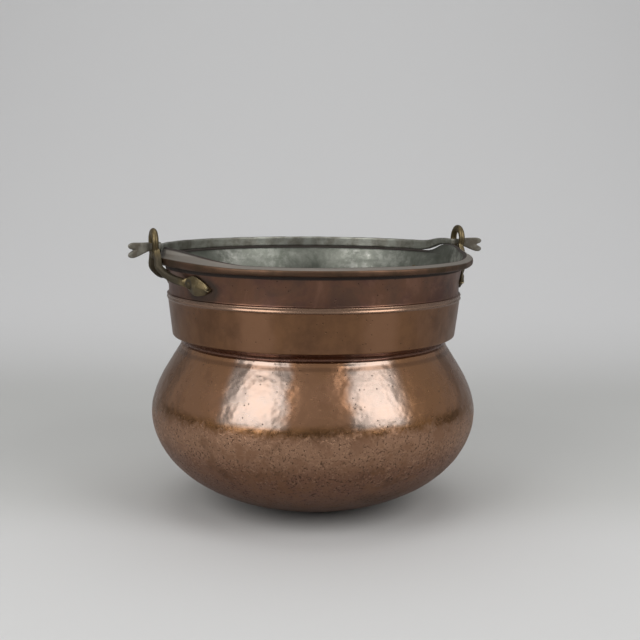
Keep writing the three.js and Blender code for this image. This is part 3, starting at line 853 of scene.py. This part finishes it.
class CAULDRON_OT_upper_body(bpy.types.Operator):
    """Turn the shoulder, collar, neck and rolled lip from one sheet"""

    bl_idname = "cauldron.upper_body"
    bl_label = "Upper body"

    def execute(self, context):
        s, _, c = settings()
        wall, lip = wall_line(s), lip_line(s)
        outside = profile([*wall, *lip])
        inside = profile([lip[-1], *reversed(inward(wall, s.sheet))], 8, LINING_REACH, 0.16)
        mesh = new_mesh()
        turned(mesh, outside, s.turns)
        turned(mesh, inside, s.turns, 1)
        turned(mesh, [inside[-1], outside[0]], s.turns)
        closed(mesh)
        lift = mesh.verts.layers.float["lift"]
        for vert in mesh.verts:
            belly = 1 - smooth(vert.co.z, 158 * MM, 172 * MM)
            push = hammer_mark(vert.co, mix(COLLAR_MARK, BELLY_MARK, belly))
            push += wavered(vert.co, 5.5 * MM, 0.035 * MM, 9.0)
            vert.co += vert.normal * push
            x, y, z = vert.co
            bearing = Vector((x, y, 0)).normalized()
            sway = smooth(z, 215 * MM, s.lip_height) * wavered(bearing, 0.5, 0.3 * MM, 3.0)
            seam = (1 - smooth(z, s.seam_height, s.seam_height + SEAM_EDGE)) * seam_wave(bearing)
            raised = lift_at(s, x, y, z)
            vert[lift] = raised / s.lift
            vert.co.z += raised + sway + seam
        as_piece("upper_shell", mesh, shell_finishes(c, s), "vessel", "upper_body")
        return {"FINISHED"}


class CAULDRON_OT_base_bowl(bpy.types.Operator):
    """Turn the bowl that is brazed into the upper body"""

    bl_idname = "cauldron.base_bowl"
    bl_label = "Base bowl"

    def execute(self, context):
        s, _, c = settings()
        top = s.seam_height - 0.02 * MM
        outside = profile([Vector((0, 0)), *bowl_line(s, 0, top, 40)], 4)
        wall = bowl_line(s, 0, s.seam_height + s.lap, 44)
        shelf = [p for p in inward(wall, s.sheet + s.fit_gap) if p.y > top]
        lining = [p for p in inward(wall, s.sheet + s.fit_gap + s.base_sheet) if p.y > s.base_sheet]
        flat = lining[0] - Vector((6 * MM, 0.7 * MM))
        inside = [outside[-1], *shelf, *reversed(lining), flat, Vector((0, flat.y))]
        mesh = new_mesh()
        turned(mesh, outside, s.turns)
        turned(mesh, profile(inside, 4, LINING_REACH, 0.10), s.turns, 1)
        closed(mesh)
        for vert in mesh.verts:
            spot = vert.co.copy()
            off_floor = smooth(spot.z, 0.5 * MM, 4 * MM)
            vert.co += vert.normal * hammer_mark(spot, BELLY_MARK) * off_floor
            bearing = Vector((spot.x, spot.y, 0)).normalized()
            vert.co.z += smooth(spot.z, top - SEAM_EDGE, top) * seam_wave(bearing)
        as_piece("bowl_shell", mesh, shell_finishes(c, s), "vessel", "base_bowl")
        return {"FINISHED"}


def ring_height(t):
    """Height of the middle of the ears' rings."""
    return PIVOT_HEIGHT + t.bail_drop


def leg_stops(s, t):
    """The line of a leg: way round the neck, height and radius of the inner face."""
    outside = s.lip_radius + 0.6 * MM
    under = s.lip_height - s.lip_fall - s.roll_height
    neck = neck_radius(s, t.foot_height) + s.fit_gap
    stops = [Vector((t.ring_radius * 0.8, ring_height(t) - t.ring_radius * t.ring_stretch * 0.6, outside))]
    for way, height, out in (
        (0.08, s.lip_height, 1.0),
        (0.22, under - s.fit_gap, 1.0),
        (0.48, mix(t.foot_height, under, 0.4), 0.6),
        (0.76, mix(t.foot_height, under, 0.1), 0.22),
        (1.0, t.foot_height, 0.0),
    ):
        stops.append(Vector((mix(t.ring_radius, t.foot_start, way), height, mix(neck, outside, out))))
    return spline(stops, 4)


def leaf_stops(t):
    """The leaf foot as a line of (way round the neck, height, half width)."""
    outline = [Vector((0, 0.5, 0)), Vector((0.36, 1, 0)), Vector((0.75, 0.66, 0)), Vector((1, 0.12, 0))]
    stops = []
    for p in spline(outline, 5)[1:]:
        way, height = t.foot_start + t.leaf_length * p.x, t.foot_height - t.leaf_drop * p.x
        stops.append(Vector((way, height, p.y * t.leaf_width / 2)))
    return stops


def leg_rings(s, t, side):
    """Sections of a leg and its leaf, each bearing on the neck."""
    legs = [(p.x, p.y, p.z, t.leg_width / 2, t.leg_edge, t.leg_depth, 0.5) for p in leg_stops(s, t)]
    leaf = [(p.x, p.y, 0.0, p.z, t.leaf_edge, t.leaf_crest, 0.06) for p in leaf_stops(t)]
    stops = [*legs, *leaf]
    foot_radius = neck_radius(s, t.foot_height)
    rings = []
    for i, (way, height, inner, half, edge, crest, ridge) in enumerate(stops):
        before, after = stops[max(i - 1, 0)], stops[min(i + 1, len(stops) - 1)]
        run = Vector((after[0] - before[0], after[1] - before[1])).normalized()
        ring = []
        for across, depth in [(-1, 0), (1, 0), (1, edge), (ridge, crest), (-ridge, crest), (-1, edge)]:
            along = way - run.y * across * half
            up = height + run.x * across * half
            radius = max(inner, neck_radius(s, up) + s.fit_gap) + depth
            bearing = side * along / mix(t.ear_radius, foot_radius, min(along / t.foot_start, 1))
            ring.append(Vector((radius * math.cos(bearing), radius * math.sin(bearing), up)))
        rings.append(ring)
    return rings


def rivet_spot(s, t):
    """Height and bearing of the rivet on the +X, +Y side."""
    height = t.foot_height - t.leaf_drop * t.rivet_in / t.leaf_length
    return height, (t.foot_start + t.rivet_in) / neck_radius(s, t.foot_height)


class CAULDRON_OT_ears(bpy.types.Operator):
    """Cast both ears: a ring on two legs that end in leaf feet"""

    bl_idname = "cauldron.ears"
    bl_label = "Ears"

    def execute(self, context):
        s, t, c = settings()
        height, bearing = rivet_spot(s, t)
        radius = neck_radius(s, height) + t.leaf_crest

        def darkened(f):
            """Darker on the legs and in a ring round each rivet."""
            spans = [abs(abs(f.x) - radius * math.cos(bearing)), abs(abs(f.y) - radius * math.sin(bearing))]
            reach = sum(span * span for span in (*spans, f.z - height)).math("SQRT")
            ring = 1 - reach.past(t.rivet_head, 1.2, 2.2)
            legs = (1 - abs(f.y).past(0, 36, 43)) * (1 - f.z.past(s.lip_height, 0, 7))
            return (ring * 0.9).math("MAXIMUM", legs * 0.8)

        tones = (c.brass, c.bright_brass, c.dark_brass)
        brass = finish_named("aged_brass", worn_finish, *tones, 160, 0.3, darkened)
        centre = Vector((t.ear_radius, 0, ring_height(t)))
        for side, turn, seed in (("right", 0.0, 2.0), ("left", math.pi, 6.0)):
            mesh = new_mesh()
            tube = bmesh.ops.create_circle(mesh, segments=20, radius=t.ring_tube)["verts"]
            bmesh.ops.translate(mesh, verts=tube, vec=centre + Vector((0, t.ring_radius, 0)))
            spun(mesh, [*tube, *edges_of(tube)], centre, (1, 0, 0), 72)
            middle = Matrix.Translation(-centre)
            bmesh.ops.scale(mesh, verts=mesh.verts, vec=(1, 1, t.ring_stretch), space=middle)
            for way in (1, -1):
                skinned(mesh, leg_rings(s, t, way))
            bmesh.ops.rotate(mesh, verts=mesh.verts, matrix=Matrix.Rotation(turn, 3, "Z"))
            closed(mesh)
            piece = as_piece(f"ear_casting_{side}", mesh, [brass], "vessel", f"ear_{side}")
            cast(piece, EAR_VOXEL, 2)
            beaten(piece, 7 * MM, 0.22 * MM, seed)
        return {"FINISHED"}


class CAULDRON_OT_rivets(bpy.types.Operator):
    """Head the four rivets over the leaf feet"""

    bl_idname = "cauldron.rivets"
    bl_label = "Rivets"

    def execute(self, context):
        s, t, c = settings()
        copper = finish_named("dull_rivet", worn_finish, c.rust, c.brass, c.dark_brass, 260, 0.5)
        height, bearing = rivet_spot(s, t)
        step = 1 * MM
        lean = math.atan2(neck_radius(s, height + step) - neck_radius(s, height - step), 2 * step)
        upright = Matrix.Translation((neck_radius(s, height), 0, height))
        stand = upright @ Matrix.Rotation(math.pi / 2 + lean, 4, "Y")
        seat = t.leaf_crest - 0.4 * MM
        inner = -s.sheet - s.fit_gap
        dome = arc((0, seat), t.rivet_head, t.rivet_rise, 90, 0, 10)
        shank = [(t.rivet_head, seat - 0.5 * MM), (t.rivet_shank, seat - 0.5 * MM), (t.rivet_shank, inner)]
        tail = marks(0, inner, (3.8, 0), (2.9, -1.1), (0, -1.4))
        line = profile([*dome, *map(Vector, shank), *tail], 1, 1 * MM)
        for side, ear in (("right", 0.0), ("left", math.pi)):
            for way in (-1, 1):
                face = "back" if (side == "right") == (way > 0) else "front"
                node = f"rivet_{side}_{face}"
                mesh = new_mesh()
                turned(mesh, line, 28)
                closed(mesh)
                place = Matrix.Rotation(ear + way * bearing, 4, "Z") @ stand
                bmesh.ops.transform(mesh, verts=mesh.verts, matrix=place)
                piece = as_piece(f"{node}_head", mesh, [copper], "vessel", node)
                beaten(piece, 2.6 * MM, 0.28 * MM, ear + way)
        return {"FINISHED"}


def bail_stops(s, t):
    """Half the bail from the middle of the back: place, height and thickness of the bar."""
    bend = t.bail_bend
    plan = [Vector((math.sin(a), math.cos(a), 0)) * t.bail_radius for a in (bend * i / 30 for i in range(30))]
    leave = Vector((math.sin(bend), math.cos(bend), 0)) * t.bail_radius
    heading = Vector((math.cos(bend), -math.sin(bend), 0))
    straight = Vector((s.lip_radius - 1 * MM, 0, 0))
    elbow = Vector((straight.x - 1.6 * MM, 0, 0))
    plan += interpolate_bezier(leave, leave + heading * leave.y * 0.6, elbow, straight, 16)
    outer = t.ear_radius + t.ring_tube
    plan += [Vector((outer + s.fit_gap, 0, 0)), Vector((outer + t.bail_thick, 0, 0))]
    high = t.bail_height + BAIL_SINK
    stops = []
    for p in plan:
        rise = smooth(math.pi / 2 - math.atan2(p.y, p.x), t.bail_rise, math.radians(88))
        face = p.normalized() * (t.bail_radius - t.bail_thick / 2)
        laid = s.lip_height + s.fit_gap - BAIL_SINK + high / 2 + lift_at(s, face.x, face.y, s.lip_height)
        spot = Vector((p.x, p.y, mix(laid, PIVOT_HEIGHT, rise)))
        stops.append((spot, mix(high, t.bail_eye, rise), t.bail_thick))
    return stops


def bar_rings(stops):
    """Sections of a flat bar on edge, with eased edges, along its stops."""
    rings = []
    for i, (spot, height, thick) in enumerate(stops):
        along = (stops[min(i + 1, len(stops) - 1)][0] - stops[max(i - 1, 0)][0]).normalized()
        across = along.cross(Vector((0, 0, 1))).normalized()
        up = across.cross(along).normalized()
        half, deep = thick / 2, height / 2
        ease = min(half, deep) * 0.3
        corners = [(half, ease - deep), (half, deep - ease), (half - ease, deep), (ease - half, deep)]
        corners += [(-a, -b) for a, b in corners]
        rings.append([spot + across * a + up * b for a, b in corners])
    return rings


def tail_stops(t, side, drop):
    """One lobe of a forked tail, bending by a drop on its way out to a rounded tip."""
    root = t.ear_radius + t.ring_tube + 1 * MM
    start = math.copysign((t.bail_eye - t.tail_thick) / 2, drop)
    stops = []
    for i in range(TAIL_STEPS + 1):
        share = i / TAIL_STEPS
        height = PIVOT_HEIGHT - start - drop * math.sin(share * math.pi / 2) ** 1.5
        out = mix(root, t.bail_reach - 1 * MM, share)
        spot = Vector((side * out, (root - out) * math.tan(t.tail_turn), height))
        tip = math.sqrt(1 - max((share - 0.7) / 0.31, 0) ** 2)
        high, thick = t.tail_thick * mix(1, 0.9, share), t.bail_thick * mix(0.98, 0.8, share)
        stops.append((spot, high * tip, thick * tip))
    return stops


class CAULDRON_OT_bail(bpy.types.Operator):
    """Forge the bail with its forked tails"""

    bl_idname = "cauldron.bail"
    bl_label = "Bail"

    def execute(self, context):
        s, t, c = settings()
        half = bail_stops(s, t)
        other = [(Vector((-spot.x, spot.y, spot.z)), *bar) for spot, *bar in reversed(half[1:])]
        mesh = new_mesh()
        skinned(mesh, bar_rings([*other, *half]))
        for side in (1, -1):
            for drop in (-t.tail_lift, t.tail_drop):
                skinned(mesh, bar_rings(tail_stops(t, side, drop)))
        closed(mesh)

        def darkened(f):
            """Brown oxide on the tails and where the bar passes through the rings."""
            patchy = 0.45 + f.clouds(130, 4).step(0.4, 0.6) * 0.4
            return abs(f.x).past(t.ear_radius, -10, 0) * patchy

        tones = (c.iron, c.bright_iron, c.rust)
        iron = finish_named("forged_iron", worn_finish, *tones, 140, 0.34, darkened, 0.09)
        piece = as_piece("bail_bar", mesh, [iron], "bail", "bail")
        cast(piece, BAIL_VOXEL, 2)
        beaten(piece, 9 * MM, 0.22 * MM, 4.0)
        return {"FINISHED"}


class CAULDRON_OT_rim_wire(bpy.types.Operator):
    """Give the wire inside the rolled edge its finish"""

    bl_idname = "cauldron.rim_wire"
    bl_label = "Rim wire"

    def execute(self, context):
        _, _, c = settings()
        wire = finish_named("dark_wire", worn_finish, c.rust, c.iron, c.grime_and_shade, 200, 0.5)
        slots = frame["nodes"]["rim_wire"].data.materials
        slots.clear()
        slots.append(wire)
        return {"FINISHED"}


# Stage

IMAGE_PIXELS = 640
FOCAL_PIXELS = 1010
AXIS_PIXEL = 313.5  # where the vessel's axis stands in the picture, from its left edge
CAMERA_DISTANCE = 0.990
CAMERA_HEIGHT = 0.316
CAMERA_PITCH = math.radians(7.85)
CAMERA_ROLL = math.radians(0.4)
LIGHT_AIM = Vector((0, 0, 0.13))
ROOM_LIGHT = 0.12
SOFT_BOXES = (  # name, bearing and rise in degrees, distance, width, height, power
    ("left", -42, 33, 1.6, 0.84, 1.14, 10.4),
    ("right", 50, 35, 1.6, 0.78, 1.06, 9.2),
    ("side_left", -92, 29, 1.7, 2.1, 1.3, 2.9),
    ("side_right", 92, 29, 1.7, 2.1, 1.3, 2.9),
    ("front", 0, 41, 2.4, 2.4, 2.3, 6.2),
    ("top", 180, 83, 2.3, 2.2, 1.8, 15.5),
)
PAPER_HALF_WIDTH = 4.0
PAPER_FRONT, PAPER_BEND, BEND_RADIUS, PAPER_RISE = -3.0, 0.6, 1.0, 3.0


def towards(turn, rise, reach):
    """A point at a bearing from the camera's side, a height angle and a distance."""
    bearing, rise = VIEW_TURN + math.radians(turn), math.radians(rise)
    level = reach * math.cos(rise)
    return Vector((level * math.sin(bearing), -level * math.cos(bearing), reach * math.sin(rise)))


class CAULDRON_OT_stage(bpy.types.Operator):
    """Lay a pale floor that turns up behind, and set the lights and the camera"""

    bl_idname = "cauldron.stage"
    bl_label = "Stage"

    def execute(self, context):
        _, _, c = settings()
        self.floor(c)
        self.lights(context.scene)
        self.camera(context.scene)
        context.scene.view_settings.view_transform = "Standard"
        return {"FINISHED"}

    def floor(self, c):
        """A sheet of paper from in front of the camera to the top of the backdrop."""
        mesh = bmesh.new()
        front = [mesh.verts.new((x, PAPER_FRONT, 0)) for x in (-PAPER_HALF_WIDTH, PAPER_HALF_WIDTH)]
        verts, edges = drawn_out(mesh, [mesh.edges.new(front)])
        bmesh.ops.translate(mesh, verts=verts, vec=(0, PAPER_BEND - PAPER_FRONT, 0))
        bend = {"cent": (0, PAPER_BEND, BEND_RADIUS), "axis": (1, 0, 0), "angle": math.pi / 2, "steps": 24}
        last = bmesh.ops.spin(mesh, geom=[*verts, *edges], **bend)["geom_last"]
        verts, _ = drawn_out(mesh, [g for g in last if isinstance(g, bmesh.types.BMEdge)])
        bmesh.ops.translate(mesh, verts=verts, vec=(0, 0, PAPER_RISE))
        for face in mesh.faces:
            face.smooth = True
        bmesh.ops.rotate(mesh, verts=mesh.verts, matrix=Matrix.Rotation(VIEW_TURN, 3, "Z"))
        floor = as_object("floor", mesh, [floor_finish("pale_paper", c)])

    def lights(self, scene):
        """Two bright soft boxes in front, a broad one between them, two at the sides and one over the top."""
        for name, turn, rise, reach, wide, high, power in SOFT_BOXES:
            spot = towards(turn, rise, reach)
            data = bpy.data.lights.new(f"soft_box_{name}", "AREA")
            data.shape = "RECTANGLE"
            data.size = wide
            data.size_y = high
            data.energy = power
            light = bpy.data.objects.new(data.name, data)
            light.location = spot
            light.rotation_euler = (LIGHT_AIM - spot).to_track_quat("-Z", "Y").to_euler()
            scene.collection.objects.link(light)
        world = bpy.data.worlds.new("dim_room")
        world.use_nodes = True
        background = world.node_tree.nodes["Background"]
        background.inputs["Color"].default_value = (ROOM_LIGHT, ROOM_LIGHT, ROOM_LIGHT, 1)
        background.inputs["Strength"].default_value = 1.0
        scene.world = world

    def camera(self, scene):
        """A camera that looks a little down on the cauldron."""
        data = bpy.data.cameras.new("camera")
        data.sensor_fit = "HORIZONTAL"
        data.sensor_width = 36.0
        data.lens = data.sensor_width * FOCAL_PIXELS / IMAGE_PIXELS
        data.shift_x = (IMAGE_PIXELS / 2 - AXIS_PIXEL) / IMAGE_PIXELS
        data.clip_start = 0.01
        camera = bpy.data.objects.new("camera", data)
        spot = Vector((math.sin(VIEW_TURN), -math.cos(VIEW_TURN), 0)) * CAMERA_DISTANCE
        spot.z = CAMERA_HEIGHT
        turn = Matrix.Rotation(VIEW_TURN, 4, "Z")
        tilt = Matrix.Rotation(math.pi / 2 - CAMERA_PITCH, 4, "X")
        roll = Matrix.Rotation(CAMERA_ROLL, 4, "Z")
        camera.matrix_world = Matrix.Translation(spot) @ turn @ tilt @ roll
        scene.collection.objects.link(camera)
        scene.camera = camera


class CAULDRON_PT_panel(bpy.types.Panel):
    """Steps and sizes of the cauldron"""

    bl_idname = "CAULDRON_PT_panel"
    bl_label = "Cauldron"
    bl_space_type = "VIEW_3D"
    bl_region_type = "UI"
    bl_category = "Cauldron"

    def draw(self, context):
        for operator in OPERATORS:
            self.layout.operator(operator.bl_idname)
        for name, _ in GROUPS:
            group = getattr(context.scene, name)
            box = self.layout.box()
            for key in group.__annotations__:
                box.prop(group, key)


OPERATORS = (
    CAULDRON_OT_stage,
    CAULDRON_OT_upper_body,
    CAULDRON_OT_base_bowl,
    CAULDRON_OT_rim_wire,
    CAULDRON_OT_ears,
    CAULDRON_OT_rivets,
    CAULDRON_OT_bail,
)
GROUPS = (
    ("cauldron_vessel", VesselSizes),
    ("cauldron_fittings", FittingSizes),
    ("cauldron_colours", Colours),
)


def register():
    """Registers the classes and hangs the sizes and colours on the scene."""
    for name, group in GROUPS:
        bpy.utils.register_class(group)
        setattr(bpy.types.Scene, name, PointerProperty(type=group))
    for item in (*OPERATORS, CAULDRON_PT_panel):
        bpy.utils.register_class(item)


def unregister():
    """Undoes what register did."""
    for item in (CAULDRON_PT_panel, *reversed(OPERATORS)):
        bpy.utils.unregister_class(item)
    for name, group in reversed(GROUPS):
        delattr(bpy.types.Scene, name)
        bpy.utils.unregister_class(group)


def main():
    """Builds the stage and every piece in order."""
    register()
    for operator in OPERATORS:
        group, name = operator.bl_idname.split(".")
        getattr(getattr(bpy.ops, group), name)()
    bpy.context.view_layer.update()


if __name__ == "__main__":
    main()
